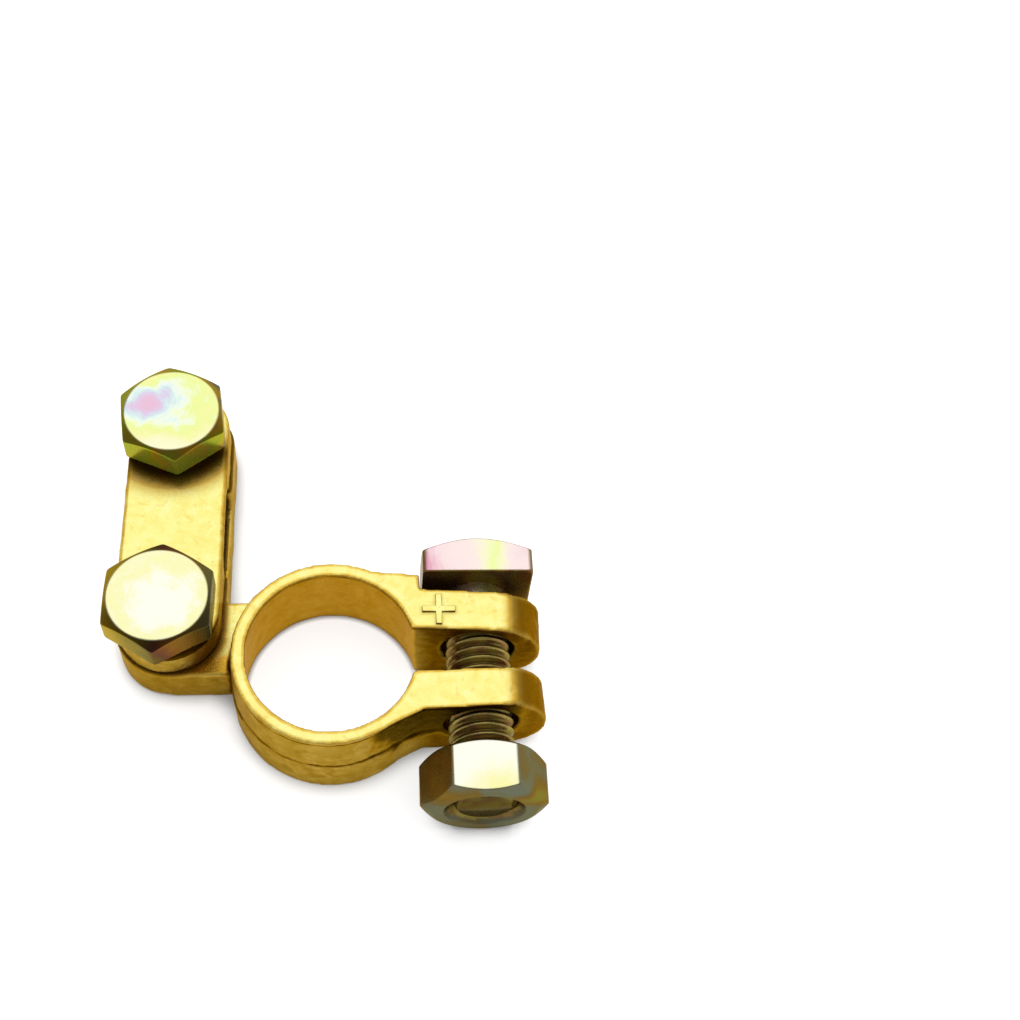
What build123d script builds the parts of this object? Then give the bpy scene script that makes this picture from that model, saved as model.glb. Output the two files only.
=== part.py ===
from build123d import *
import os
from math import cos, radians, sin, tan

# Battery terminal clamp: a cast brass ring for the post, two ears with a pinch
# bolt, and a two-bolt clamp for the battery cable. All sizes are millimetres.
# The origin is on the floor under the middle of the post ring, with +Z up.
# The ears point along +X, the cable clamp lies on the -X side, and the bar of
# the cable clamp and the pinch bolt both run along Y.

# Post ring
ring_height = 12.5
bore_top_diameter = 20.6
post_taper = 1 / 9  # growth in diameter for each millimetre down the post
ring_wall = 1.7  # at the rim
parting_height = 6.0  # mould parting line, also the top of the lower jaw
draft = 0.2  # how much the outer wall widens from the rim to the parting line
mould_step = 0.12  # ledge where the two mould halves met

# Ears, slot and the webs that join the ears to the ring
slot_width = 5.7  # where the slot leaves the bore
slot_shift = 0.2  # the slot's middle lies a little past the ring's axis
ear_toe = 2.6  # degrees that each ear leans in
near_ear_thickness = 5.05
far_ear_thickness = 5.4
ear_tip = 1.6  # from the pinch bolt's axis to the middle of the ear's round end
web_angle = 55  # where the near web leaves the ring, in degrees from +X
web_end_inset = 0.8  # the near web runs out this far short of the ring's radius
stop_angle = 65  # where the stop beside the square head leaves the ring
stop_depth = 2.0  # how far the stop stands proud of the far ear's face
stop_clearance = 0.45  # between the stop and the flat of the square head

# Pinch bolt and nut
pinch_reach = 5.9  # from the ring's outer wall to the bolt's axis
pinch_raise = 0.65  # bolt's axis above the middle of the ears
bolt_diameter = 8.0
ear_hole_clearance = 0.6
thread_clearance = 0.05
pinch_head_flats = 13.8
pinch_head_corner = 0.7  # rounding of the head's four long edges
pinch_head_height = 4.8
pinch_head_circle = 13.2
pinch_head_gap = 2.1  # from the far ear's face to the head
nut_gap = 4.45  # from the near ear's face to the nut
nut_flats = 13.4
nut_height = 6.5
nut_circle = 12.6
nut_countersink = 9.8
nut_turn = -1.5
nut_overhang = 0.4  # how far the nut reaches past the bolt's end

# Cable clamp
neck_length = 1.1
neck_width = 10.1
neck_proud = 0.1  # how far the neck stands out past the bar's near end
bar_near_end = -0.1  # place of the bar's near end along Y
jaw_width = 13.6
cap_width = 12.9
cap_height = 4.4
edge_round = 0.5
channel_width = 12.6
channel_in_cap = 2.7
channel_in_jaw = 3.1
mouth_round = 0.6

# Cable bolts
bolt_spacing = 27.0
bolt_shift = 0.7  # the bolts sit outboard of the bar's middle
cap_hole_clearance = 0.4
cable_bolt_length = 10.0
cable_head_flats = 13.0
cable_head_height = 4.2
cable_head_circle = 12.1
near_head_turn = -1.3
far_head_turn = 6.8
end_chamfer = 0.8

# Places worked out from the sizes above
bore_top = bore_top_diameter / 2
bore_bottom = bore_top + ring_height * post_taper / 2
outer_top = bore_top + ring_wall
outer_above_parting = outer_top + draft
outer_below_parting = outer_above_parting + mould_step
pinch_x = outer_below_parting + pinch_reach
pinch_z = ring_height / 2 + pinch_raise
ear_end_x = pinch_x + ear_tip
bar_x = -(outer_below_parting + neck_length + jaw_width / 2)
bar_y = bar_near_end + (bolt_spacing + jaw_width) / 2
bolt_x = bar_x - bolt_shift
near_bolt_y = bar_y - bolt_spacing / 2
far_bolt_y = bar_y + bolt_spacing / 2
cap_top = parting_height + cap_height
channel_height = channel_in_cap + channel_in_jaw
channel_z = parting_height + (channel_in_cap - channel_in_jaw) / 2
toe_slope = tan(radians(ear_toe))
ear_hole_radius = bolt_diameter / 2 + ear_hole_clearance
thread_hole_radius = bolt_diameter / 2 + thread_clearance
cap_hole_radius = bolt_diameter / 2 + cap_hole_clearance


def slot_half(x):
    """Half the slot's width, at x."""
    return slot_width / 2 - (x - bore_top) * toe_slope


def far_face(x):
    """Place along Y of the far ear's outer face, at x."""
    return slot_shift + slot_half(x) + far_ear_thickness


def near_face(x):
    """Place along Y of the near ear's outer face, at x."""
    return slot_shift - slot_half(x) - near_ear_thickness


def on_ring(angle):
    """Point on the ring's outer wall at the rim."""
    return (outer_top * cos(radians(angle)), outer_top * sin(radians(angle)))


pinch_seat = far_face(pinch_x) + pinch_head_gap
nut_face = near_face(pinch_x) - nut_gap - nut_height
pinch_length = pinch_seat - nut_face - nut_overhang
stop_x = pinch_x - pinch_head_flats / 2 - stop_clearance
web_x = outer_top - web_end_inset

centred_on_plane = (Align.CENTER, Align.CENTER, Align.MIN)
corner_depth = tan(radians(30))


def turned_corners(height, circle, flip=False):
    """Turn the corners of a prism down at thirty degrees, outside the circle."""
    small = circle / 2
    large = small + height / corner_depth
    if flip:
        Cone(small, large, height, align=centred_on_plane, mode=Mode.INTERSECT)
    else:
        Cone(large, small, height, align=centred_on_plane, mode=Mode.INTERSECT)


def cut_channel(width):
    """Cut the cable's channel across the bar, with its mouths rounded over."""
    with BuildSketch(Plane.YZ.offset(bar_x)) as oval:
        with Locations((bar_y, channel_z)):
            SlotOverall(channel_width, channel_height)
    extrude(oval.sketch, amount=width, both=True, mode=Mode.SUBTRACT)
    rims = edges(Select.LAST).filter_by(Plane.YZ)
    fillet(rims.filter_by(lambda rim: abs(rim.center().Z - parting_height) > mouth_round), mouth_round)


# Cast body: lower jaw, neck, ring and ears in one piece
with BuildPart() as clamp_body:
    with BuildSketch():
        with Locations((bar_x, bar_y)):
            SlotCenterToCenter(bolt_spacing, jaw_width, rotation=90)
    extrude(amount=parting_height)
    fillet(faces().sort_by(Axis.Z)[0].edges(), edge_round)

    # Neck between the bar and the ring
    with BuildSketch():
        with Locations((bar_x, bar_near_end - neck_proud)):
            Rectangle(-bar_x - bore_top / 2, neck_width, align=(Align.MIN, Align.MIN))
    extrude(amount=parting_height)

    # Ring, with draft above the parting line and a small ledge on it
    with BuildSketch(Plane.XZ):
        with BuildLine():
            Polyline(
                (0, 0),
                (outer_below_parting, 0),
                (outer_below_parting, parting_height),
                (outer_above_parting, parting_height),
                (outer_top, ring_height),
                (0, ring_height),
                close=True,
            )
        make_face()
    revolve(axis=Axis.Z)

    # Ears with round ends
    for side, thickness in ((1, far_ear_thickness), (-1, near_ear_thickness)):
        slot_side = Plane(
            origin=(bore_top, slot_shift + side * slot_width / 2, 0),
            x_dir=(1, -side * toe_slope, 0),
            z_dir=(-side * toe_slope, -1, 0),
        )
        with BuildSketch(slot_side):
            with BuildLine():
                Line((ear_end_x - bore_top, ring_height), (-bore_top / 2, ring_height))
                Line((-bore_top / 2, ring_height), (-bore_top / 2, 0))
                Line((-bore_top / 2, 0), (ear_end_x - bore_top, 0))
                CenterArc((ear_end_x - bore_top, ring_height / 2), ring_height / 2, -90, 180)
            make_face()
        extrude(amount=-side * thickness)

    # Web under the near ear's root, and the stop beside the square head
    with BuildSketch():
        with BuildLine():
            Polyline(
                (0, 0),
                on_ring(-web_angle),
                (web_x, near_face(web_x)),
                close=True,
            )
        make_face()
        with BuildLine():
            Polyline(
                (0, 0),
                (stop_x, slot_shift + slot_half(stop_x)),
                (stop_x, far_face(stop_x) + stop_depth),
                on_ring(stop_angle),
                close=True,
            )
        make_face()
    extrude(amount=ring_height)

    # Tapered bore for the post, wider at the bottom
    Cone(bore_bottom, bore_top, ring_height, align=centred_on_plane, mode=Mode.SUBTRACT)

    # Slot between the ears
    with BuildSketch():
        with BuildLine():
            Polyline(
                (0, slot_shift + slot_half(0)),
                (2 * ear_end_x, slot_shift + slot_half(2 * ear_end_x)),
                (2 * ear_end_x, slot_shift - slot_half(2 * ear_end_x)),
                (0, slot_shift - slot_half(0)),
                close=True,
            )
        make_face()
    extrude(amount=ring_height, mode=Mode.SUBTRACT)

    # Clearance holes for the pinch bolt
    with BuildSketch(Plane.XZ):
        with Locations((pinch_x, pinch_z)):
            Circle(ear_hole_radius)
    extrude(amount=pinch_length, both=True, mode=Mode.SUBTRACT)

    # Tapped holes for the cable bolts, at the thread's outer size
    with BuildSketch():
        with Locations((bolt_x, near_bolt_y), (bolt_x, far_bolt_y)):
            Circle(thread_hole_radius)
    extrude(amount=parting_height, mode=Mode.SUBTRACT)

    # Lower half of the cable channel
    cut_channel(jaw_width)
clamp_body.part.label = "clamp_body"


# Upper jaw of the cable clamp
with BuildPart() as cable_cap:
    with BuildSketch(Plane.XY.offset(parting_height)):
        with Locations((bar_x, bar_y)):
            SlotCenterToCenter(bolt_spacing, cap_width, rotation=90)
    extrude(amount=cap_height)
    fillet(faces().sort_by(Axis.Z)[-1].edges(), edge_round)

    with BuildSketch(Plane.XY.offset(parting_height)):
        with Locations((bolt_x, near_bolt_y), (bolt_x, far_bolt_y)):
            Circle(cap_hole_radius)
    extrude(amount=cap_height, mode=Mode.SUBTRACT)

    cut_channel(cap_width)
cable_cap.part.label = "cable_cap"


def cable_bolt(y, turn):
    """Hex bolt that holds the cap down, with its corners turned by some degrees."""
    seat = Plane((bolt_x, y, cap_top))
    with BuildPart(seat) as bolt:
        with BuildSketch(seat):
            RegularPolygon(cable_head_flats / 2, 6, major_radius=False, rotation=30 + turn)
        extrude(amount=cable_head_height)
        turned_corners(cable_head_height, cable_head_circle)
        with BuildSketch(seat):
            Circle(bolt_diameter / 2)
        extrude(amount=-cable_bolt_length)
        chamfer(faces().sort_by(Axis.Z)[0].edges(), end_chamfer)
    return bolt


cable_bolt_near = cable_bolt(near_bolt_y, near_head_turn)
cable_bolt_near.part.label = "cable_bolt_near"
cable_bolt_far = cable_bolt(far_bolt_y, far_head_turn)
cable_bolt_far.part.label = "cable_bolt_far"


# Square-headed pinch bolt through both ears
head_seat = Plane((pinch_x, pinch_seat, pinch_z), x_dir=(1, 0, 0), z_dir=(0, 1, 0))
with BuildPart(head_seat) as pinch_bolt:
    with BuildSketch(head_seat):
        RectangleRounded(pinch_head_flats, pinch_head_flats, pinch_head_corner)
    extrude(amount=pinch_head_height)
    turned_corners(pinch_head_height, pinch_head_circle)
    with BuildSketch(head_seat):
        Circle(bolt_diameter / 2)
    extrude(amount=-pinch_length)
    chamfer(faces().sort_by(Axis.Y)[0].edges(), end_chamfer)
pinch_bolt.part.label = "pinch_bolt"


# Hex nut on the end of the pinch bolt, with a flat on top
nut_seat = Plane((pinch_x, nut_face, pinch_z), x_dir=(1, 0, 0), z_dir=(0, 1, 0))
with BuildPart(nut_seat) as pinch_nut:
    with BuildSketch(nut_seat):
        RegularPolygon(nut_flats / 2, 6, major_radius=False, rotation=nut_turn)
    extrude(amount=nut_height)
    turned_corners(nut_height, nut_circle)
    turned_corners(nut_height, nut_circle, flip=True)
    with BuildSketch(nut_seat):
        Circle(thread_hole_radius)
    extrude(amount=nut_height, mode=Mode.SUBTRACT)
    mouths = edges().filter_by(GeomType.CIRCLE).group_by(SortBy.RADIUS)[0]
    chamfer(mouths, nut_countersink / 2 - thread_hole_radius)
pinch_nut.part.label = "pinch_nut"


os.makedirs("parts", exist_ok=True)
for piece in (clamp_body, cable_cap, cable_bolt_near, cable_bolt_far, pinch_bolt, pinch_nut):
    export_step(piece.part, f"parts/{piece.part.label}.step")
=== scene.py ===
import math
import bmesh
import bpy
import numpy as np
from mathutils import Matrix, Vector, noise


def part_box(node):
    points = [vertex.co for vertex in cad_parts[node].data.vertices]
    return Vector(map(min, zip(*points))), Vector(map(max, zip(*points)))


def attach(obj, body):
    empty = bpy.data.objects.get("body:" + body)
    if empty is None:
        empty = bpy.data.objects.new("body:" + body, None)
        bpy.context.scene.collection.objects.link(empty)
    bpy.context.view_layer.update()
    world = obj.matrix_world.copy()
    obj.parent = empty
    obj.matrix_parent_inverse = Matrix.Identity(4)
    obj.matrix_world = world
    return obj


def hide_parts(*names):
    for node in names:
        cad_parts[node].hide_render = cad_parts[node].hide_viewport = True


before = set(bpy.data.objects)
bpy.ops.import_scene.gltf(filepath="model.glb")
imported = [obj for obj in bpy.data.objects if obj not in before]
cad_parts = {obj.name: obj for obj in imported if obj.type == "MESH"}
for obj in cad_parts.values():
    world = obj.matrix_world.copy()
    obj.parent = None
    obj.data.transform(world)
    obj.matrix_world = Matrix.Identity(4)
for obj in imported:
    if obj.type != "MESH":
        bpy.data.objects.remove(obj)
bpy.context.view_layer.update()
scene = bpy.context.scene
MM = 0.001

# Sizes repeated from the part, in millimetres and degrees
PARTING = 6.0
BAR_X = -20.22
CAP_TOP = 10.4
CAP_WIDTH = 12.9
BOLT_X = -20.92
NEAR_BOLT_Y = 6.7
FAR_BOLT_Y = 33.7
BOLT_LENGTH = 10.0
HEAD_FLATS = 13.0
HEAD_HEIGHT = 4.2
HEAD_CIRCLE = 12.1
NEAR_HEAD_TURN = -1.3
FAR_HEAD_TURN = 6.8
PINCH_X = 18.22
PINCH_Z = 6.9
SQUARE_FLATS = 13.8
SQUARE_HEIGHT = 4.8
SQUARE_CIRCLE = 13.2
NUT_FLATS = 13.4
NUT_CIRCLE = 12.6
NUT_SINK = 9.8
NUT_TURN = 30 - 1.5

# The plus sign on the far ear
SIGN_X = 13.2
SIGN_Y = 5.55
SIGN_HALF = 2.05
SIGN_STROKE = 0.38  # half of a stroke's width
SIGN_LOW = 12.3
SIGN_TOP = 12.76
SIGN_ROUND = 0.11

# The real thread, which the part leaves plain
PITCH = 1.25
THREAD_RADIUS = 4.0
THREAD_DEPTH = 0.74
CREST_END = 0.125  # these are shares of the pitch
ROOT_START = 0.479
ROOT_END = 0.646
FLANK = 0.354
THREAD_STEPS = (0.0, CREST_END, 0.302, ROOT_START, 0.5625, ROOT_END, 0.823)
BOLT_PLAIN = 1.2  # plain length under a cable bolt's head
PINCH_PLAIN = 3.4
TIP_CHAMFER = 0.8
NUT_PLAY = 0.05

# How fine the meshes are
BODY_VOXEL = 0.24
CAP_VOXEL = 0.18
HEAD_SEGMENTS = 240
NUT_SEGMENTS = 192
THREAD_SEGMENTS = 96
MERGE = 0.0008


# Helpers for meshes, all in millimetres until they are finished
def smoothstep(low, high, value):
    t = np.clip((value - low) / (high - low), 0, 1)
    return t * t * (3 - 2 * t)


def bell(value, width):
    """1 where the value is 0, falling off over the width."""
    return np.exp(-((value / width) ** 2))


def fractal(points, scale, octaves):
    """Smooth noise from -1 to 1 at each point."""
    out = np.empty(len(points))
    for i, p in enumerate(points * scale):
        out[i] = noise.fractal(Vector(p), 0.9, 2.1, octaves)
    return out


def get_points(mesh):
    co = np.empty(len(mesh.vertices) * 3)
    mesh.vertices.foreach_get("co", co)
    return co.reshape(-1, 3)


def get_normals(mesh):
    mesh.update()
    n = np.empty(len(mesh.vertices) * 3)
    mesh.vertices.foreach_get("normal", n)
    return n.reshape(-1, 3)


def set_points(mesh, points):
    mesh.vertices.foreach_set("co", np.ascontiguousarray(points, dtype=np.float32).ravel())
    mesh.update()


def neighbour_mean(mesh, values):
    """Mean of each vertex's neighbours, for points or single values."""
    e = np.empty(len(mesh.edges) * 2, dtype=np.int64)
    mesh.edges.foreach_get("vertices", e)
    a, b = e[0::2], e[1::2]
    n = len(mesh.vertices)
    degree = np.maximum(np.bincount(a, minlength=n) + np.bincount(b, minlength=n), 1)
    columns = values if values.ndim == 2 else values[:, None]
    out = np.empty_like(columns)
    for k in range(columns.shape[1]):
        column = columns[:, k]
        total = np.bincount(a, column[b], n) + np.bincount(b, column[a], n)
        out[:, k] = total / degree
    return out if values.ndim == 2 else out[:, 0]


def relax(mesh, rounds):
    """Soften edges without shrinking the piece much."""
    points = get_points(mesh)
    for _ in range(rounds):
        points = points + 0.5 * (neighbour_mean(mesh, points) - points)
        points = points - 0.35 * (neighbour_mean(mesh, points) - points)
    set_points(mesh, points)


def add_attribute(mesh, name, values):
    layer = mesh.attributes.get(name) or mesh.attributes.new(name, "FLOAT", "POINT")
    layer.data.foreach_set("value", np.ascontiguousarray(values, dtype=np.float32))


def new_object(name, mesh):
    obj = bpy.data.objects.new(name, mesh)
    scene.collection.objects.link(obj)
    return obj


def finish_piece(name, mesh, body, node, material):
    """Turn a millimetre mesh into a piece that stands for a CAD node."""
    mesh.name = name
    mesh.transform(Matrix.Scale(MM, 4))
    mesh.polygons.foreach_set("use_smooth", [True] * len(mesh.polygons))
    mesh.materials.clear()
    mesh.materials.append(material)
    obj = new_object(name, mesh)
    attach(obj, body)
    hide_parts(node)


def soft_copy(node, voxel):
    """The CAD node's shape as an even mesh of small quads, in millimetres."""
    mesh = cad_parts[node].data.copy()
    mesh.transform(Matrix.Scale(1000, 4))
    work = bmesh.new()
    work.from_mesh(mesh)
    bmesh.ops.remove_doubles(work, verts=work.verts, dist=0.002)
    work.to_mesh(mesh)
    work.free()
    obj = new_object("work", mesh)
    even = obj.modifiers.new("even", "REMESH")
    even.mode = "VOXEL"
    even.voxel_size = voxel
    even.adaptivity = 0
    graph = bpy.context.evaluated_depsgraph_get()
    graph.update()
    made = bpy.data.meshes.new_from_object(obj.evaluated_get(graph))
    bpy.data.objects.remove(obj)
    bpy.data.meshes.remove(mesh)
    return made


def mesh_from(made, name):
    """Move a bmesh into a new mesh."""
    mesh = bpy.data.meshes.new(name)
    made.to_mesh(mesh)
    made.free()
    return mesh


def in_fixed_order(made):
    """The same faces in an order of their own, because a bevel gives them in one that varies."""
    loops = []
    for face in made.faces:
        loop = [tuple(round(c, 4) for c in v.co) for v in face.verts]
        start = loop.index(min(loop))
        loops.append(loop[start:] + loop[:start])
    made.free()
    fixed = bmesh.new()
    verts = {}
    for loop in sorted(loops):
        for place in loop:
            if place not in verts:
                verts[place] = fixed.verts.new(place)
        fixed.faces.new([verts[place] for place in loop])
    fixed.normal_update()
    return fixed


def cast_skin(points, normals, broad, fine, calm):
    """How far the uneven cast skin stands out, less on surfaces that face straight up or down."""
    flat = smoothstep(0.6, 0.92, np.abs(normals[:, 2]))
    rough = fractal(points, broad, 2) * 0.07 + fractal(points, fine, 3) * 0.045
    return rough * (1 - calm * flat)


def press_pits(points, shift, pits):
    """Push small round pits into the surface; each is (centre, radius, depth)."""
    for centre, radius, depth in pits:
        shift -= depth * bell(np.linalg.norm(points - np.array(centre), axis=1), radius)
    return shift


def random_pits(points, count, seed, smallest, largest, depth):
    pick = np.random.default_rng(seed)
    chosen = pick.choice(len(points), count, replace=False)
    sizes = pick.uniform(smallest, largest, count)
    depths = pick.uniform(0.3, 1.0, count) * depth
    return [(points[i], s, d) for i, s, d in zip(chosen, sizes, depths)]


MARKS = ("facing", "painted_shade", "worn", "painted_dimming", "inward")


def mark_surface(mesh, dark=0.0, painted_dimming=0.0, inward=0.0):
    """Store how the surface faces, where shade is painted (in concave places and the dark places
    given), where it is worn, where painted shade darkens chosen walls, and where it lines the bore.
    """
    points, normals = get_points(mesh), get_normals(mesh)
    spread = points
    for _ in range(6):
        spread = neighbour_mean(mesh, spread)
    bend = np.einsum("ij,ij->i", spread - points, normals)
    for _ in range(2):
        bend = neighbour_mean(mesh, bend)
    facing = normals[:, 2]
    for _ in range(3):
        facing = neighbour_mean(mesh, facing)
    add_attribute(mesh, "facing", np.clip(facing, 0, 1))
    # Painted shade in concave places, added to the dark places given
    add_attribute(mesh, "painted_shade", np.clip(smoothstep(0.008, 0.06, bend) + dark, 0, 1))
    add_attribute(mesh, "worn", smoothstep(0.02, 0.14, -bend))
    add_attribute(mesh, "painted_dimming", np.zeros(len(points)) + painted_dimming)
    add_attribute(mesh, "inward", np.zeros(len(points)) + inward)


# Helpers for shader nodes
def new_material(name):
    material = bpy.data.materials.new(name)
    material.use_nodes = True
    tree = material.node_tree
    tree.nodes.clear()
    out = tree.nodes.new("ShaderNodeOutputMaterial")
    shader = tree.nodes.new("ShaderNodeBsdfPrincipled")
    tree.links.new(shader.outputs["BSDF"], out.inputs["Surface"])
    return material, tree, shader


def set_socket(tree, socket, value):
    """Link the socket to an output, or give it a plain value or colour."""
    if isinstance(value, bpy.types.NodeSocket):
        tree.links.new(value, socket)
    elif isinstance(value, tuple) and socket.type == "RGBA":
        socket.default_value = (*value, 1)
    else:
        socket.default_value = value


def vector_maths(tree, operation, first, second=None):
    v = tree.nodes.new("ShaderNodeVectorMath")
    v.operation = operation
    set_socket(tree, v.inputs[0], first)
    if second is not None:
        set_socket(tree, v.inputs[1], second)
    scalar = operation in ("DOT_PRODUCT", "LENGTH")
    return v.outputs["Value" if scalar else "Vector"]


def object_mm(tree):
    """Object coordinates in millimetres."""
    place = tree.nodes.new("ShaderNodeTexCoord")
    scale = tree.nodes.new("ShaderNodeVectorMath")
    scale.operation = "SCALE"
    scale.inputs["Scale"].default_value = 1000
    tree.links.new(place.outputs["Object"], scale.inputs[0])
    return scale.outputs["Vector"]


def noise_value(tree, coords, scale, detail=3.0, rough=0.55, distort=0.0):
    n = tree.nodes.new("ShaderNodeTexNoise")
    n.inputs["Scale"].default_value = scale
    n.inputs["Detail"].default_value = detail
    n.inputs["Roughness"].default_value = rough
    n.inputs["Distortion"].default_value = distort
    tree.links.new(coords, n.inputs["Vector"])
    return n.outputs["Fac"]


def ramp(tree, value, stops, blend="LINEAR"):
    """Colours or grey levels along a value; each stop is (value, colour or level)."""
    r = tree.nodes.new("ShaderNodeValToRGB")
    r.color_ramp.interpolation = blend
    elements = r.color_ramp.elements
    while len(elements) < len(stops):
        elements.new(0.5)
    for element, (place, colour) in zip(elements, stops):
        element.position = place
        level = colour if isinstance(colour, tuple) else (colour, colour, colour)
        element.color = (*level, 1)
    tree.links.new(value, r.inputs["Fac"])
    return r.outputs["Color"]


def mix(tree, amount, first, second, kind="MIX"):
    """Blend two colours; each is an output or a plain colour."""
    m = tree.nodes.new("ShaderNodeMix")
    m.data_type = "RGBA"
    m.blend_type = kind
    for socket, value in ((m.inputs[0], amount), (m.inputs[6], first), (m.inputs[7], second)):
        set_socket(tree, socket, value)
    return m.outputs[2]


def maths(tree, operation, first, second=0.0, third=0.0):
    m = tree.nodes.new("ShaderNodeMath")
    m.operation = operation
    for socket, value in zip(m.inputs, (first, second, third)):
        set_socket(tree, socket, value)
    return m.outputs[0]


def attribute(tree, name):
    a = tree.nodes.new("ShaderNodeAttribute")
    a.attribute_name = name
    return a.outputs["Fac"]


def bump(tree, height, distance, strength, shader):
    b = tree.nodes.new("ShaderNodeBump")
    b.inputs["Distance"].default_value = distance * MM
    b.inputs["Strength"].default_value = strength
    tree.links.new(height, b.inputs["Height"])
    tree.links.new(b.outputs["Normal"], shader.inputs["Normal"])


# Cast brass: bright and yellow on the faced tops, orange on rounded edges as painted half-shade, and
# browner on the sides, where the cast skin's own colour is darkened by painted shade
def brass_colour(tree, mm, faced):
    broad = noise_value(tree, mm, 0.16, 3)
    patch = noise_value(tree, mm, 0.55, 4, 0.6, 0.6)
    facing, painted_shade, worn, painted_dimming, inward = (attribute(tree, n) for n in MARKS)
    turned = ramp(tree, facing, [(0.45, 0.0), (0.88, 1.0)], "EASE")

    skin = ramp(tree, patch, [
        (0.28, (0.23, 0.13, 0.014)), (0.5, (0.37, 0.235, 0.038)), (0.72, (0.50, 0.35, 0.085))])
    browner = ramp(tree, broad, [(0.4, 0.0), (0.65, 0.5)])
    skin = mix(tree, browner, skin, (0.33, 0.22, 0.035))
    # The bore's more orange colour is painted light reflected between its brass walls
    bore = ramp(tree, patch, [(0.3, (0.40, 0.20, 0.016)), (0.7, (0.50, 0.29, 0.04))])
    skin = mix(tree, inward, skin, bore)
    # Painted shade: the marked walls turn brown
    brown = ramp(tree, patch, [(0.3, (0.115, 0.04, 0.002)), (0.7, (0.21, 0.09, 0.006))])
    skin = mix(tree, ramp(tree, painted_dimming, [(0.0, 0.0), (0.55, 1.0)]), skin, brown)

    edge = ramp(tree, patch, [
        (0.3, (0.56, 0.32, 0.035)), (0.5, (0.69, 0.48, 0.08)), (0.7, (0.71, 0.61, 0.17))])
    # Painted shade: roundings on the marked places turn dark brown
    shaded_edge = ramp(tree, painted_dimming, [(0.6, 0.0), (1.0, 1.0)])
    edge = mix(tree, shaded_edge, edge, (0.20, 0.095, 0.004))

    top = ramp(tree, patch, [
        (0.3, (0.70, 0.60, 0.16)), (0.55, (0.71, 0.67, 0.23)), (0.75, (0.71, 0.69, 0.31))])
    spots = ramp(tree, noise_value(tree, mm, 0.9, 4, 0.6, 0.4), [(0.58, 0.0), (0.70, 0.5)])
    top = mix(tree, spots, top, (0.67, 0.42, 0.06))
    # Painted shade: tops on the marked places, as on the neck, turn orange
    golden = ramp(tree, painted_dimming, [(0.6, 0.0), (0.8, 1.0)])
    top = mix(tree, golden, top, (0.66, 0.38, 0.04))

    # Painted shade by facing: sides darker and roundings orange beside the faced tops
    colour = mix(tree, turned, skin, edge)
    colour = mix(tree, faced, colour, top)
    colour = mix(tree, maths(tree, "MULTIPLY", worn, 0.4), colour, (0.68, 0.46, 0.08))
    # Painted shade: brown, then near black where it is deepest
    shaded = ramp(tree, painted_shade, [(0.0, 0.0), (0.5, 0.8)])
    colour = mix(tree, shaded, colour, (0.36, 0.19, 0.015))
    deepest = ramp(tree, painted_shade, [(0.4, 0.0), (1.0, 0.97)])
    colour = mix(tree, deepest, colour, (0.025, 0.008, 0.0005))
    specks = ramp(tree, noise_value(tree, mm, 3.4, 3, 0.7), [(0.66, 0.0), (0.74, 0.45)])
    return mix(tree, specks, colour, (0.20, 0.10, 0.01))


def brass_material():
    material, tree, shader = new_material("cast_brass_look")
    mm = object_mm(tree)
    faced = ramp(tree, attribute(tree, "facing"), [(0.90, 0.0), (0.985, 1.0)], "EASE")
    tree.links.new(brass_colour(tree, mm, faced), shader.inputs["Base Color"])
    shader.inputs["Metallic"].default_value = 1.0
    shader.inputs["Specular Tint"].default_value = (1.0, 0.78, 0.4, 1.0)

    grain = noise_value(tree, mm, 2.6, 5, 0.65)
    rough = ramp(tree, grain, [(0.3, 0.34), (0.7, 0.50)])
    rough_faced = ramp(tree, grain, [(0.3, 0.20), (0.7, 0.32)])
    tree.links.new(mix(tree, faced, rough, rough_faced), shader.inputs["Roughness"])
    sand = mix(tree, 0.5, grain, noise_value(tree, mm, 7.0, 3, 0.7))
    depth = mix(tree, faced, sand, mix(tree, 0.75, sand, (0.5, 0.5, 0.5)))
    bump(tree, depth, 0.12, 0.5, shader)
    return material


# Zinc plate with a yellow chromate film, whose colour drifts across each face
def film_value(tree, mm, place, streak, drift, radial):
    """Where the film's colour lies on its ramp: round the centre, or along the drift."""
    if radial:
        along = vector_maths(tree, "LENGTH", vector_maths(tree, "MULTIPLY", place, drift))
    else:
        along = maths(tree, "ADD", vector_maths(tree, "DOT_PRODUCT", place, drift), 0.13)
    rings = tree.nodes.new("ShaderNodeTexWave")
    rings.wave_type = "RINGS"
    rings.rings_direction = "Z"
    rings.inputs["Scale"].default_value = 0.45
    rings.inputs["Distortion"].default_value = 2.5
    tree.links.new(place, rings.inputs["Vector"])
    film = maths(tree, "MULTIPLY_ADD", noise_value(tree, mm, 0.15, 1.5, 0.5, 0.5), 0.5, along)
    film = maths(tree, "MULTIPLY_ADD", streak, 0.2, film)
    return maths(tree, "MULTIPLY_ADD", rings.outputs["Fac"], 0.018, film)


def flank_value(tree, mm, place, streak, drift, spread):
    """Where the colour of the piece's sides lies on its ramp."""
    across = vector_maths(tree, "DOT_PRODUCT", place, drift)
    around = maths(tree, "ADD", across, 0.42 - 0.5 * spread)
    patches = noise_value(tree, mm, 0.16, 1.5, 0.5, 0.4)
    around = maths(tree, "MULTIPLY_ADD", patches, spread, around)
    return maths(tree, "MULTIPLY_ADD", streak, 0.16, around)


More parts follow.
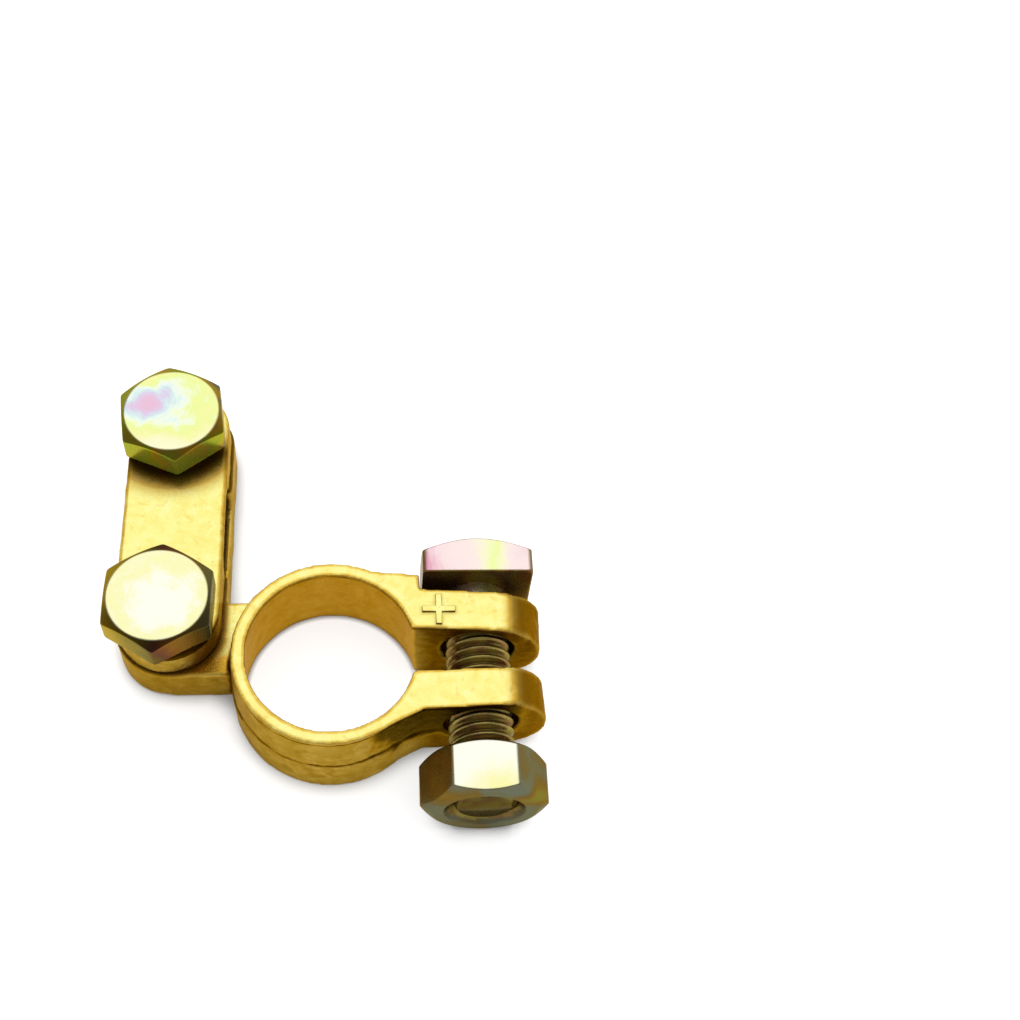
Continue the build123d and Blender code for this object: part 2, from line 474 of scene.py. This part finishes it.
def plated_material(name, centre, drift, tops, sides, radial=False, film_depth=0.25,
                    side_drift=(0, 0, 0), spread=1.4):
    """Plated steel; tops and sides are ramps of colours for the bright top, whose paleness is partly a
    painted highlight, and for the sides, which painted shade darkens.

    Drift moves along the tops' ramp for each millimetre from the centre, or round it if radial, and
    side_drift along the sides'. Film_depth is how much less metallic the sides are than the top,
    and spread is how far noise moves along the sides' ramp.
    """
    material, tree, shader = new_material(name)
    mm = object_mm(tree)
    place = vector_maths(tree, "SUBTRACT", mm, centre)
    streak = noise_value(tree, mm, 0.5, 2, 0.5, 0.5)
    crown = ramp(tree, film_value(tree, mm, place, streak, drift, radial), tops, "B_SPLINE")
    around = flank_value(tree, mm, place, streak, side_drift, spread)
    flank = ramp(tree, around, sides, "B_SPLINE")
    # Painted shade multiplied into the chamfers' colour
    flank = mix(tree, attribute(tree, "bevel"), flank, (0.30, 0.26, 0.24), "MULTIPLY")
    thread = ramp(tree, streak, [(0.35, (0.24, 0.12, 0.05)), (0.6, (0.32, 0.26, 0.06))])
    flank = mix(tree, attribute(tree, "shank"), flank, thread)
    colour = mix(tree, attribute(tree, "crown"), flank, crown)
    # Painted shade in the thread's roots and a painted highlight on its crests
    root = maths(tree, "MULTIPLY", attribute(tree, "root"), 0.8)
    colour = mix(tree, root, colour, (0.045, 0.025, 0.005))
    crest = maths(tree, "MULTIPLY", attribute(tree, "crest"), 0.35)
    colour = mix(tree, crest, colour, (0.40, 0.33, 0.11))
    tree.links.new(colour, shader.inputs["Base Color"])
    bare = maths(tree, "MULTIPLY_ADD", attribute(tree, "crown"), film_depth, 1 - film_depth)
    tree.links.new(bare, shader.inputs["Metallic"])
    shader.inputs["Specular Tint"].default_value = (0.62, 0.56, 0.4, 1.0)
    shader.inputs["Specular IOR Level"].default_value = 0.05
    grain = noise_value(tree, mm, 3.0, 4, 0.65)
    roughness = ramp(tree, grain, [(0.3, 0.18), (0.7, 0.30)])
    tree.links.new(roughness, shader.inputs["Roughness"])
    bump(tree, mix(tree, 0.4, grain, streak), 0.03, 0.35, shader)
    return material


# Colours that the film takes on the bright tops, made pale partly by a painted highlight
WHITE, CREAM, YELLOW = (0.70, 0.70, 0.62), (0.69, 0.68, 0.46), (0.68, 0.66, 0.30)
LIME, AQUA, LILAC = (0.58, 0.68, 0.20), (0.46, 0.64, 0.60), (0.53, 0.44, 0.60)
PINK, ROSE, PLUM = (0.69, 0.57, 0.56), (0.55, 0.24, 0.34), (0.60, 0.38, 0.48)

# Colours that it takes on the darker sides, darkened by painted shade
OLIVE, GOLD, TEAL = (0.21, 0.18, 0.03), (0.36, 0.25, 0.02), (0.15, 0.21, 0.15)
BRONZE, MAROON, AMBER = (0.19, 0.095, 0.015), (0.13, 0.035, 0.045), (0.56, 0.39, 0.03)
MOSS, MOULD, UMBER = (0.38, 0.33, 0.04), (0.13, 0.18, 0.02), (0.14, 0.10, 0.025)
SLATE, RUST = (0.12, 0.16, 0.13), (0.30, 0.12, 0.015)
GRASS, ORANGE = (0.34, 0.52, 0.03), (0.70, 0.36, 0.01)

brass = brass_material()
plated = {
    "near": plated_material(
        "plated_steel_near", (BOLT_X + 0.5, NEAR_BOLT_Y - 0.3, 14.6), (0.05, 0.05, 0.05),
        tops=[(0.0, CREAM), (0.36, WHITE), (0.49, WHITE), (0.54, CREAM), (0.6, YELLOW),
              (0.68, CREAM), (0.78, YELLOW)],
        sides=[(0.0, AMBER), (0.16, GOLD), (0.32, OLIVE), (0.42, UMBER), (0.5, MAROON),
               (0.62, RUST), (0.8, OLIVE), (1.0, SLATE)],
        radial=True, side_drift=(0.07, 0, 0), spread=0.5),
    "far": plated_material(
        "plated_steel_far", (BOLT_X - 2.4, FAR_BOLT_Y + 1.3, 14.6), (0.042, 0.065, 0.05),
        tops=[(0.0, PLUM), (0.36, PLUM), (0.44, LILAC), (0.51, AQUA), (0.57, WHITE),
              (0.62, LIME), (0.7, YELLOW), (0.82, CREAM)],
        sides=[(0.0, SLATE), (0.22, GRASS), (0.36, AMBER), (0.46, GRASS), (0.58, ORANGE),
               (0.7, MOSS), (0.8, GRASS), (0.92, ORANGE), (1.0, TEAL)],
        radial=True, film_depth=0.45, side_drift=(0.06, 0, 0), spread=1.0),
    "pinch": plated_material(
        "plated_steel_pinch", (PINCH_X, 12.6, 13.8), (0.062, 0.0, 0),
        tops=[(0.0, ROSE), (0.12, PINK), (0.42, PINK), (0.52, CREAM), (0.6, LIME),
              (0.68, CREAM), (0.76, PINK), (0.93, PINK), (1.0, ROSE)],
        sides=[(0.0, MAROON), (0.3, BRONZE), (0.45, OLIVE), (0.6, MAROON), (0.8, GOLD),
               (1.0, TEAL)]),
    "nut": plated_material(
        "plated_steel_nut", (PINCH_X, -13.6, PINCH_Z), (0.02, -0.055, 0),
        tops=[(0.0, CREAM), (0.3, WHITE), (0.56, WHITE), (0.68, CREAM), (0.8, YELLOW),
              (1.0, YELLOW)],
        sides=[(0.0, MOULD), (0.2, OLIVE), (0.36, BRONZE), (0.5, UMBER), (0.66, SLATE),
               (0.8, UMBER), (1.0, BRONZE)]),
}


# Clamp body
def parting_line(points, normals, radius, outward, on_circle, shift):
    """Press in the line that the mould left round the ring and the web; also gives the painted shade in
    it.
    """
    x, y, z = points.T
    level = PARTING + 0.05 + 0.3 * fractal(on_circle, 4.0, 3)
    depth = 0.16 + 0.10 * fractal(on_circle, 9.0, 2)
    wall = smoothstep(0.75, 0.95, outward) * smoothstep(11.5, 11.9, radius)
    wall = wall * (1 - smoothstep(12.6, 14.5, radius))
    web = smoothstep(0.6, 0.9, -normals[:, 1]) * (y < -6) * smoothstep(5, 7, x)
    web = web * (1 - smoothstep(10, 14, x))
    wall = np.maximum(wall, web)
    width = 0.26 + 0.3 * smoothstep(2.5, 8, x) * (y < 0)
    crease = wall * bell(z - level, width)
    shift = shift - crease * depth
    shift = shift + wall * 0.07 * bell(z - level + 0.6, 0.3)
    # Painted shade in the crease, patchy and lighter towards +y
    patchy = np.clip(0.85 + 0.5 * fractal(on_circle, 6.0, 2), 0.5, 1)
    return shift, crease * (patchy * (1 - 0.3 * smoothstep(-2, 3, y)))


def painted_dimming_places(points, normals, outward):
    """Painted shade and reflection: ear walls are darker than the ring, and their round ends darkest;
    the neck is darker too.
    """
    x, y, z = points.T
    painted_dimming = 0.6 * smoothstep(9.5, 13.5, x) + 0.4 * smoothstep(20.6, 23.5, x)
    by_neck = 0.26 * (1 - smoothstep(-12.0, -6.0, x)) * (1 - smoothstep(-2.0, 6.0, y))
    painted_dimming += by_neck * (outward > 0)
    neck = (z > 5) * (z < 7.5) * (x < -11.5) * (x > -21) * smoothstep(0.6, 0.9, normals[:, 2])
    return painted_dimming + neck * 0.8 * (1 - smoothstep(1.5, 5.5, y))


def painted_dark_places(points, normals, radius, on_circle, crease):
    """Places of painted shade and painted reflection, from 0 to 1."""
    x, y, z = points.T

    # Painted shade in the corners round the foot of the cap and where the ring rises from the neck
    nearest = np.clip(y, NEAR_BOLT_Y, FAR_BOLT_Y)
    beyond = np.hypot(x - BAR_X, y - nearest) - CAP_WIDTH / 2
    reach = 1.3 + 0.5 * smoothstep(-17.5, -15.5, x) * (y < 5)
    dark = 0.9 * (1 - smoothstep(0.0, 1.0, np.abs(beyond) / reach)) * smoothstep(5.2, 5.8, z)
    dark *= x < -11
    foot = bell(radius - 12.5, 0.65) * smoothstep(4.5, 5.8, z) * (1 - smoothstep(6.2, 7.5, z))
    dark = np.maximum(dark, 0.9 * foot * (x < -8) * (y > -6) * (y < 11))

    # Painted shade and the nut's painted reflection on the near ear's outer wall, under its top edge
    # and back to the ring
    ragged = 2.2 * fractal(points, 0.4, 3)
    under = smoothstep(0.35, 0.7, -normals[:, 1])
    under = under * smoothstep(4.8, 8.5, x + ragged + 0.35 * (z - 6)) * (y < -5)
    under *= smoothstep(2.8, 6.0, z + ragged)
    dark = np.maximum(dark, under * (1 - smoothstep(21.5, 24.5, x)))
    dark = np.maximum(dark, crease)

    # Painted shade in a thin line on the walls, just under the top edge
    edge = bell(z - 12.12, 0.2) * (0.9 + 0.5 * fractal(on_circle, 5.0, 2))
    upright = 1 - smoothstep(0.4, 0.75, np.abs(normals[:, 2]))
    dark = np.maximum(dark, edge * upright * (x > -13.5) * (1 - smoothstep(18, 22, x)))

    # Painted shade on the floor of the cable channel
    channel = (np.abs(x - BAR_X) < 6.4) * (y > 12) * (y < 29)
    channel = channel * smoothstep(1, 2, z) * (1 - smoothstep(5.4, 5.7, z))
    dark = np.maximum(dark, 0.85 * channel * smoothstep(0.1, 0.5, normals[:, 2]))

    # Painted shade in a soft line round the foot of the plus sign
    dx, dy = np.abs(x - SIGN_X), np.abs(y - SIGN_Y + 0.12)
    sizes = ((SIGN_STROKE, SIGN_HALF), (SIGN_HALF, SIGN_STROKE))
    arms = [np.hypot(np.maximum(dx - a, 0), np.maximum(dy - b, 0)) for a, b in sizes]
    return np.maximum(dark, 0.3 * (bell(np.minimum(*arms), 0.22) * (z > 11)))


def make_body():
    mesh = soft_copy("clamp_body", BODY_VOXEL)
    relax(mesh, 2)
    points, normals = get_points(mesh), get_normals(mesh)
    x, y, z = points.T
    radius = np.hypot(x, y)
    outward = (normals[:, 0] * x + normals[:, 1] * y) / np.maximum(radius, 0.01)
    turn = np.arctan2(y, x)
    on_circle = np.stack([np.cos(turn), np.sin(turn), np.zeros_like(turn)], axis=1)

    shift = cast_skin(points, normals, 0.22, 0.8, 0.82)
    shift *= 1 - 0.5 * smoothstep(0.3, 0.8, -outward) * (radius < 11.6)
    shift, crease = parting_line(points, normals, radius, outward, on_circle, shift)
    painted_dimming = painted_dimming_places(points, normals, outward)
    dark = painted_dark_places(points, normals, radius, on_circle, crease)
    inward = smoothstep(0.3, 0.8, -outward) * (radius < 11.8)
    shift = press_pits(points, shift, random_pits(points, 46, 11, 0.25, 0.55, 0.08))
    moved = points + normals * shift[:, None]

    # The rim's outer edge leans down a little on the near side
    lean = smoothstep(10.8, 12.3, radius) * smoothstep(0.2, 0.8, -y / np.maximum(radius, 1))
    lean = lean * smoothstep(8.5, 12, z)
    moved[:, 2] -= 0.12 * lean * (1 - smoothstep(6, 9, x))
    set_points(mesh, moved)
    mark_surface(mesh, dark, painted_dimming, inward)
    return mesh


def plus_mark():
    """Raised plus sign on the far ear's top."""
    half, stroke = SIGN_HALF, SIGN_STROKE
    arm = [(stroke, half), (-stroke, half), (-stroke, stroke),
           (-half, stroke), (-half, -stroke), (-stroke, -stroke)]
    outline = arm + [(-a, -b) for a, b in arm]
    made = bmesh.new()
    base = [made.verts.new((SIGN_X + a, SIGN_Y + b, SIGN_LOW)) for a, b in outline]
    face = made.faces.new(base)
    grown = bmesh.ops.extrude_face_region(made, geom=[face])
    top = [v for v in grown["geom"] if isinstance(v, bmesh.types.BMVert)]
    bmesh.ops.translate(made, verts=top, vec=(0, 0, SIGN_TOP - SIGN_LOW))
    bmesh.ops.recalc_face_normals(made, faces=made.faces)
    upper = [e for e in made.edges if all(v.co.z > SIGN_TOP - 0.01 for v in e.verts)]
    upright = [e for e in made.edges if abs(e.verts[0].co.z - e.verts[1].co.z) > 0.1]
    bmesh.ops.bevel(made, geom=upper + upright, offset=SIGN_ROUND, segments=3,
                    affect="EDGES", profile=0.5)
    made = in_fixed_order(made)
    bmesh.ops.triangulate(made, faces=made.faces)
    return made


def body_with_mark():
    mesh = make_body()
    count = len(mesh.vertices)
    sign = mesh_from(plus_mark(), "sign")
    joined = bmesh.new()
    joined.from_mesh(mesh)
    joined.from_mesh(sign)
    layers = {n: joined.verts.layers.float.get(n) for n in MARKS}
    joined.verts.ensure_lookup_table()
    joined.normal_update()
    # Painted shade on the sign's walls, heavier where they do not face +y; the whole sign gets half of
    # the walls' painted darkening
    for v in joined.verts[count:]:
        v[layers["facing"]] = 1.0 if v.normal.z > 0.5 else 0.3
        v[layers["painted_shade"]] = 0.0 if v.normal.z > 0.3 else (0.7 if v.normal.y < 0.3 else 0.2)
        v[layers["worn"]] = 0.0
        v[layers["painted_dimming"]] = 0.5
        v[layers["inward"]] = 0.0
    joined.to_mesh(mesh)
    joined.free()
    bpy.data.meshes.remove(sign)
    return mesh


finish_piece("cast_body", body_with_mark(), "casting", "clamp_body", brass)


# Cable cap
CAP_DENTS = [((-15.9, 18.3, CAP_TOP), 0.6, 0.06), ((-16.3, 19.0, CAP_TOP), 0.5, 0.04)]


def make_cap():
    mesh = soft_copy("cable_cap", CAP_VOXEL)
    relax(mesh, 3)
    points, normals = get_points(mesh), get_normals(mesh)
    shift = cast_skin(points, normals, 0.2, 0.75, 0.8)
    shift = press_pits(points, shift, CAP_DENTS + random_pits(points, 16, 5, 0.25, 0.5, 0.07))
    set_points(mesh, points + normals * shift[:, None])

    # Painted shade and the head's painted dark reflection on the cap round each bolt's head, on the
    # near side
    head_shade = np.zeros(len(points))
    for bolt_y in (NEAR_BOLT_Y, FAR_BOLT_Y):
        away = np.hypot(points[:, 0] - BOLT_X, points[:, 1] - bolt_y)
        near_side = smoothstep(1.0, 4.0, bolt_y - points[:, 1])
        head_shade = np.maximum(head_shade, (1 - smoothstep(7.0, 11.8, away)) * near_side)
    head_shade *= points[:, 2] > CAP_TOP - 1.0
    mark_surface(mesh, head_shade)
    return mesh


finish_piece("cap_casting", make_cap(), "cap", "cable_cap", brass)


# Bolts and the nut
SLOPE = math.tan(math.radians(30))
ARC = ((1.7, 0), (1, 0), (0.45, 0.1), (0.1, 0.45), (0, 1), (0, 1.7))


def prism_radius(angle, sides, flats, turn, sharp=70):
    """Radius of a prism with slightly rounded corners, at an angle."""
    total = 0.0
    for k in range(sides):
        c = math.cos(angle - turn - 2 * math.pi * k / sides)
        if c > 0:
            total += (c / (flats / 2)) ** sharp
    return total ** (-1 / sharp)


def rounded(corners):
    """Points along a profile; each corner is (r, z, cut), and a cut above 0 rounds it."""
    out = []
    for i, (r, z, cut) in enumerate(corners):
        if cut <= 0:
            out.append((r, z))
            continue
        here = np.array((r, z))
        before = np.array(corners[i - 1][:2]) - here
        after = np.array(corners[i + 1][:2]) - here
        reach = min(np.linalg.norm(before), np.linalg.norm(after))
        cut = min(cut, 0.28 * reach)
        before /= np.linalg.norm(before)
        after /= np.linalg.norm(after)
        for a, b in ARC:
            out.append(tuple(here + before * cut * a + after * cut * b))
    return out


def turn_profile(made, chain_at, segments):
    """Faces between the profiles at each angle round the axis."""
    rings = []
    for i in range(segments):
        angle = 2 * math.pi * i / segments
        c, s = math.cos(angle), math.sin(angle)
        rings.append([made.verts.new((r * c, r * s, z)) for r, z in chain_at(angle)])
    for i in range(segments):
        a, b = rings[i], rings[(i + 1) % segments]
        for j in range(len(a) - 1):
            made.faces.new((a[j], b[j], b[j + 1], a[j + 1]))


def head_chain(sides, flats, turn, height, circle, sharp):
    """Profile of a head from its seat to its top, whose flat circle is slightly crowned."""
    def chain(angle):
        r = prism_radius(angle, sides, flats, turn, sharp)
        shoulder = height - (r - circle / 2) * SLOPE
        crowned = height + 0.02
        return rounded([
            (0.0, 0.0, 0), (r * 0.6, 0.0, 0), (r, 0.0, 0.22), (r, shoulder, 0.14),
            (circle / 2, height, 0.2), (circle / 4, crowned, 0), (0.0, crowned, 0)])
    return chain


def thread_radius(part):
    """Radius of the thread at a share of the pitch."""
    part = part % 1.0
    if part < CREST_END:
        drop = 0.0
    elif part < ROOT_START:
        drop = (part - CREST_END) / FLANK
    elif part < ROOT_END:
        drop = 1.0
    else:
        drop = 1 - (part - ROOT_END) / FLANK
    return THREAD_RADIUS - THREAD_DEPTH * drop


def helix_surface(made, low, high, radius_at):
    """A screw surface from low to high; radius_at(share of pitch, z) gives its radius."""
    turns = range(math.floor(low / PITCH) - 2, math.ceil(high / PITCH) + 2)
    rows = [t + s for t in turns for s in THREAD_STEPS]
    grid = []
    for row in rows:
        line = []
        for i in range(THREAD_SEGMENTS):
            share = i / THREAD_SEGMENTS
            z = min(max((row + share) * PITCH, low), high)
            r = radius_at(z / PITCH - share, z)
            angle = 2 * math.pi * share
            line.append(made.verts.new((r * math.cos(angle), r * math.sin(angle), z)))
        grid.append(line)
    step = len(THREAD_STEPS)
    for j in range(len(rows) - step - 1):
        for i in range(THREAD_SEGMENTS):
            if i + 1 < THREAD_SEGMENTS:
                quad = (grid[j][i], grid[j][i + 1], grid[j + 1][i + 1], grid[j + 1][i])
            else:
                quad = (grid[j][i], grid[j + step][0], grid[j + step + 1][0], grid[j + 1][i])
            made.faces.new(quad)


def close_mesh(made, cap):
    bmesh.ops.remove_doubles(made, verts=made.verts, dist=MERGE)
    bmesh.ops.dissolve_degenerate(made, edges=made.edges, dist=0.0005)
    loose = [v for v in made.verts if not v.link_faces]
    bmesh.ops.delete(made, geom=loose, context="VERTS")
    if cap:
        rim = [e for e in made.edges if e.is_boundary]
        bmesh.ops.holes_fill(made, edges=rim, sides=0)
    bmesh.ops.recalc_face_normals(made, faces=made.faces)


def shank(length, plain):
    """Threaded shank that hangs down from the head's seat."""
    def radius_at(share, z):
        r = thread_radius(share)
        fade = float(smoothstep(-plain - 1.0, -plain, z))
        r = r + (THREAD_RADIUS - 0.12 - r) * fade
        tip = THREAD_RADIUS - TIP_CHAMFER + (z + length)
        return min(r, tip)
    made = bmesh.new()
    helix_surface(made, -length, 0.25, radius_at)
    close_mesh(made, True)
    return made


def mark_fastener(mesh, height, threaded):
    """Store where the head's top and bevel, the thread, its roots and its crests are."""
    points, normals = get_points(mesh), get_normals(mesh)
    radius = np.hypot(points[:, 0], points[:, 1])
    top = smoothstep(0.9, 0.98, normals[:, 2]) * (points[:, 2] > height * 0.5)
    bevel = smoothstep(0.35, 0.75, normals[:, 2]) * (radius > THREAD_RADIUS + 0.5)
    near_side = smoothstep(-0.2, 0.3, -normals[:, 1])
    depth = (THREAD_RADIUS - radius) / THREAD_DEPTH
    inside = threaded(points, radius)
    add_attribute(mesh, "crown", top)
    # Painted shade on the chamfers, heavier on the side that faces local -y
    add_attribute(mesh, "bevel", bevel * (0.6 + 0.4 * near_side))
    add_attribute(mesh, "shank", inside)
    # Where shade is painted in the thread's roots and a highlight on its crests
    add_attribute(mesh, "root", smoothstep(0.35, 0.95, depth) * inside)
    add_attribute(mesh, "crest", (1 - smoothstep(0.0, 0.25, depth)) * inside)


def bolt_mesh(sides, flats, turn, height, circle, length, plain, sharp=70):
    made = bmesh.new()
    turn_profile(made, head_chain(sides, flats, turn, height, circle, sharp), HEAD_SEGMENTS)
    close_mesh(made, False)
    head = mesh_from(made, "head")
    made = shank(length, plain)
    made.from_mesh(head)
    bpy.data.meshes.remove(head)
    mesh = mesh_from(made, "bolt")
    mark_fastener(mesh, height, lambda p, r: (p[:, 2] < -plain) * (r < THREAD_RADIUS + 0.05))
    return mesh


def cable_bolt(name, body, node, y, turn, look):
    mesh = bolt_mesh(6, HEAD_FLATS, math.radians(turn), HEAD_HEIGHT, HEAD_CIRCLE, BOLT_LENGTH,
                     BOLT_PLAIN)
    mesh.transform(Matrix.Translation((BOLT_X, y, CAP_TOP)))
    finish_piece(name, mesh, body, node, look)


cable_bolt("near_bolt_made", "near_bolt", "cable_bolt_near", NEAR_BOLT_Y, NEAR_HEAD_TURN,
           plated["near"])
cable_bolt("far_bolt_made", "far_bolt", "cable_bolt_far", FAR_BOLT_Y, FAR_HEAD_TURN,
           plated["far"])

# The pinch bolt's and the nut's own frames have local Z along +Y
along_y = Matrix(((1, 0, 0, 0), (0, 0, 1, 0), (0, -1, 0, 0), (0, 0, 0, 1)))


def pinch_bolt_mesh(head_seat, end):
    """Square-headed bolt; a painted highlight lies on the flat that is up, and thinly on the plain
    shank.
    """
    mesh = bolt_mesh(4, SQUARE_FLATS, 0.0, SQUARE_HEIGHT, SQUARE_CIRCLE, head_seat - end,
                     PINCH_PLAIN, 23)
    points, normals = get_points(mesh), get_normals(mesh)
    # Painted highlight on the flat that is up, and more thinly on the plain shank under the head
    up = smoothstep(0.9, 0.98, -normals[:, 1]) * (points[:, 2] > 0)
    out = smoothstep(0.8, 0.97, normals[:, 2])
    bare = (points[:, 2] < -0.05) * (points[:, 2] > -3.2)
    bare = bare * (np.hypot(points[:, 0], points[:, 1]) < 4.1)
    add_attribute(mesh, "crown", np.maximum(np.maximum(up, out * 0.4), bare * 0.45))
    mesh.transform(Matrix.Translation((PINCH_X, head_seat, PINCH_Z)) @ along_y)
    return mesh


low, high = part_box("pinch_bolt")
head_seat = high.y / MM - SQUARE_HEIGHT
finish_piece("pinch_bolt_made", pinch_bolt_mesh(head_seat, low.y / MM), "pinch_bolt",
             "pinch_bolt", plated["pinch"])


def nut_shape(height, phase):
    """Hex nut with its thread cut to match the bolt's."""
    inner = NUT_SINK / 2
    face = NUT_CIRCLE / 2

    def chain(angle):
        r = prism_radius(angle, 6, NUT_FLATS, math.radians(NUT_TURN))
        drop = (r - face) * SLOPE
        return rounded([
            (inner, 0.0, 0), (inner + 0.15, 0.0, 0), (face, 0.0, 0.2), (r, drop, 0.14),
            (r, height - drop, 0.14), (face, height, 0.2), (inner + 0.15, height, 0),
            (inner, height, 0)])

    def radius_at(share, z):
        return max(thread_radius(share + phase) + NUT_PLAY, inner - min(z, height - z))

    made = bmesh.new()
    turn_profile(made, chain, NUT_SEGMENTS)
    helix = bmesh.new()
    helix_surface(helix, 0.0, height, radius_at)
    close_mesh(helix, False)
    thread = mesh_from(helix, "thread")
    made.from_mesh(thread)
    bpy.data.meshes.remove(thread)
    bmesh.ops.remove_doubles(made, verts=made.verts, dist=MERGE)
    bmesh.ops.recalc_face_normals(made, faces=made.faces)
    return mesh_from(made, "nut")


def nut_mesh(face_y, height, phase):
    """The nut in its place, with a painted highlight on the flat that is up and painted shade inside
    its thread, heaviest in its upper half.
    """
    mesh = nut_shape(height, phase)
    mark_fastener(mesh, math.inf, lambda p, r: (r < THREAD_RADIUS + 0.4) * 1.0)
    points, normals = get_points(mesh), get_normals(mesh)
    radius = np.hypot(points[:, 0], points[:, 1])
    # Painted shade inside the thread, heaviest in the upper half
    bored = 1 - smoothstep(NUT_SINK / 2 - 0.1, NUT_SINK / 2 + 0.05, radius)
    add_attribute(mesh, "root", bored * (0.6 + 0.4 * smoothstep(-1.5, 1.5, -points[:, 1])))
    add_attribute(mesh, "crest", np.zeros(len(points)))
    # Painted highlight on the flat that is up
    add_attribute(mesh, "crown", smoothstep(0.9, 0.98, -normals[:, 1]) * (radius > 5.5))
    mesh.transform(Matrix.Translation((PINCH_X, face_y, PINCH_Z)) @ along_y)
    return mesh


low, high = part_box("pinch_nut")
nut_face = low.y / MM
nut_height = (high.y - low.y) / MM
finish_piece("nut_made", nut_mesh(nut_face, nut_height, (nut_face - head_seat) / PITCH),
             "pinch_nut", "pinch_nut", plated["nut"])


# Floor, world and light
PAPER_GLOW = 0.66
CONTACT_REACH = 3.5


def seen_rays(tree):
    """1 for rays from the camera and for those that metal or glass reflects."""
    path = tree.nodes.new("ShaderNodeLightPath")
    seen = maths(tree, "MAXIMUM", path.outputs["Is Camera Ray"], path.outputs["Is Glossy Ray"])
    return maths(tree, "MAXIMUM", seen, path.outputs["Is Transmission Ray"])


def floor_material():
    """White paper that glows for the camera, with a painted contact shadow: less glow and a darker
    colour where the clamp stands close over it.
    """
    material, tree, shader = new_material("floor_paper")
    mm = object_mm(tree)
    shader.inputs["Roughness"].default_value = 0.9
    shader.inputs["Specular IOR Level"].default_value = 0.0
    shader.inputs["Emission Color"].default_value = (1, 1, 1, 1)
    contact = tree.nodes.new("ShaderNodeAmbientOcclusion")
    contact.inputs["Distance"].default_value = CONTACT_REACH * MM
    contact.samples = 8
    open_sky = ramp(tree, contact.outputs["AO"], [(0.3, 0.2), (0.85, 1.0)], "EASE")

    # The paper seen through the ring is as bright as the rest
    away = maths(tree, "MULTIPLY", vector_maths(tree, "LENGTH", mm), 0.05)
    inside = maths(tree, "MULTIPLY", ramp(tree, away, [(0.52, 1.0), (0.56, 0.0)]), 1.15)
    open_floor = maths(tree, "MAXIMUM", open_sky, inside)
    tone = ramp(tree, noise_value(tree, mm, 0.02, 2), [(0.3, 0.73), (0.7, 0.75)])
    shaded = ramp(tree, open_floor, [(0.2, 0.45), (0.9, 1.0)])
    tree.links.new(mix(tree, shaded, (0.0, 0.0, 0.0), tone), shader.inputs["Base Color"])
    glow = maths(tree, "MULTIPLY", seen_rays(tree), PAPER_GLOW)
    glow = maths(tree, "MULTIPLY", glow, open_floor)
    tree.links.new(glow, shader.inputs["Emission Strength"])
    return material


def make_floor():
    made = bmesh.new()
    bmesh.ops.create_grid(made, x_segments=1, y_segments=1, size=4)
    floor = new_object("floor", mesh_from(made, "floor"))
    floor.data.materials.append(floor_material())


def make_world():
    """White below the horizon and dimmer above it."""
    world = bpy.data.worlds.new("studio")
    scene.world = world
    world.use_nodes = True
    tree = world.node_tree
    tree.nodes.clear()
    out = tree.nodes.new("ShaderNodeOutputWorld")
    sky = tree.nodes.new("ShaderNodeBackground")
    place = tree.nodes.new("ShaderNodeTexCoord")
    split = tree.nodes.new("ShaderNodeSeparateXYZ")
    tree.links.new(place.outputs["Generated"], split.inputs[0])
    tone = ramp(tree, split.outputs["Z"], [(0.34, 1.0), (0.58, 0.42)], "EASE")
    tree.links.new(tone, sky.inputs["Color"])
    tree.links.new(sky.outputs[0], out.inputs["Surface"])


def make_light():
    lamp = bpy.data.lights.new("softbox", "SUN")
    lamp.energy = 1.3
    lamp.angle = math.radians(78)
    lamp.color = (1, 1, 1)
    key = bpy.data.objects.new("softbox", lamp)
    scene.collection.objects.link(key)
    key.rotation_euler = Vector((0.05, 0.47, 0.88)).to_track_quat("Z", "Y").to_euler()


make_floor()
make_world()
make_light()


# Camera at the photograph's angle, fitted in pixels of its frame
PICTURE = 1020
FOCAL = 1467.69
CENTRE_X = 450
EYE = (3.9208, -76.5269, 173.0681)
YAW, PITCH_DOWN, ROLL = 0.115, 1.0278, 0.097
SENSOR = 36


def make_camera():
    level = math.cos(PITCH_DOWN)
    look = Vector((math.sin(YAW) * level, math.cos(YAW) * level, -math.sin(PITCH_DOWN)))
    right = Vector((math.cos(YAW), -math.sin(YAW), 0))
    up = right.cross(look)
    turned_right = right * math.cos(ROLL) + up * math.sin(ROLL)
    turned_up = up * math.cos(ROLL) - right * math.sin(ROLL)
    data = bpy.data.cameras.new("camera")
    data.sensor_width = SENSOR
    data.lens = SENSOR * FOCAL / PICTURE
    data.shift_x = (PICTURE / 2 - CENTRE_X) / PICTURE
    data.clip_start = 0.005
    data.clip_end = 20
    camera = bpy.data.objects.new("camera", data)
    scene.collection.objects.link(camera)
    turn = Matrix((turned_right, turned_up, -look)).transposed()
    camera.matrix_world = Matrix.Translation(Vector(EYE) * MM) @ turn.to_4x4()
    scene.camera = camera


make_camera()
scene.view_settings.view_transform = "Standard"
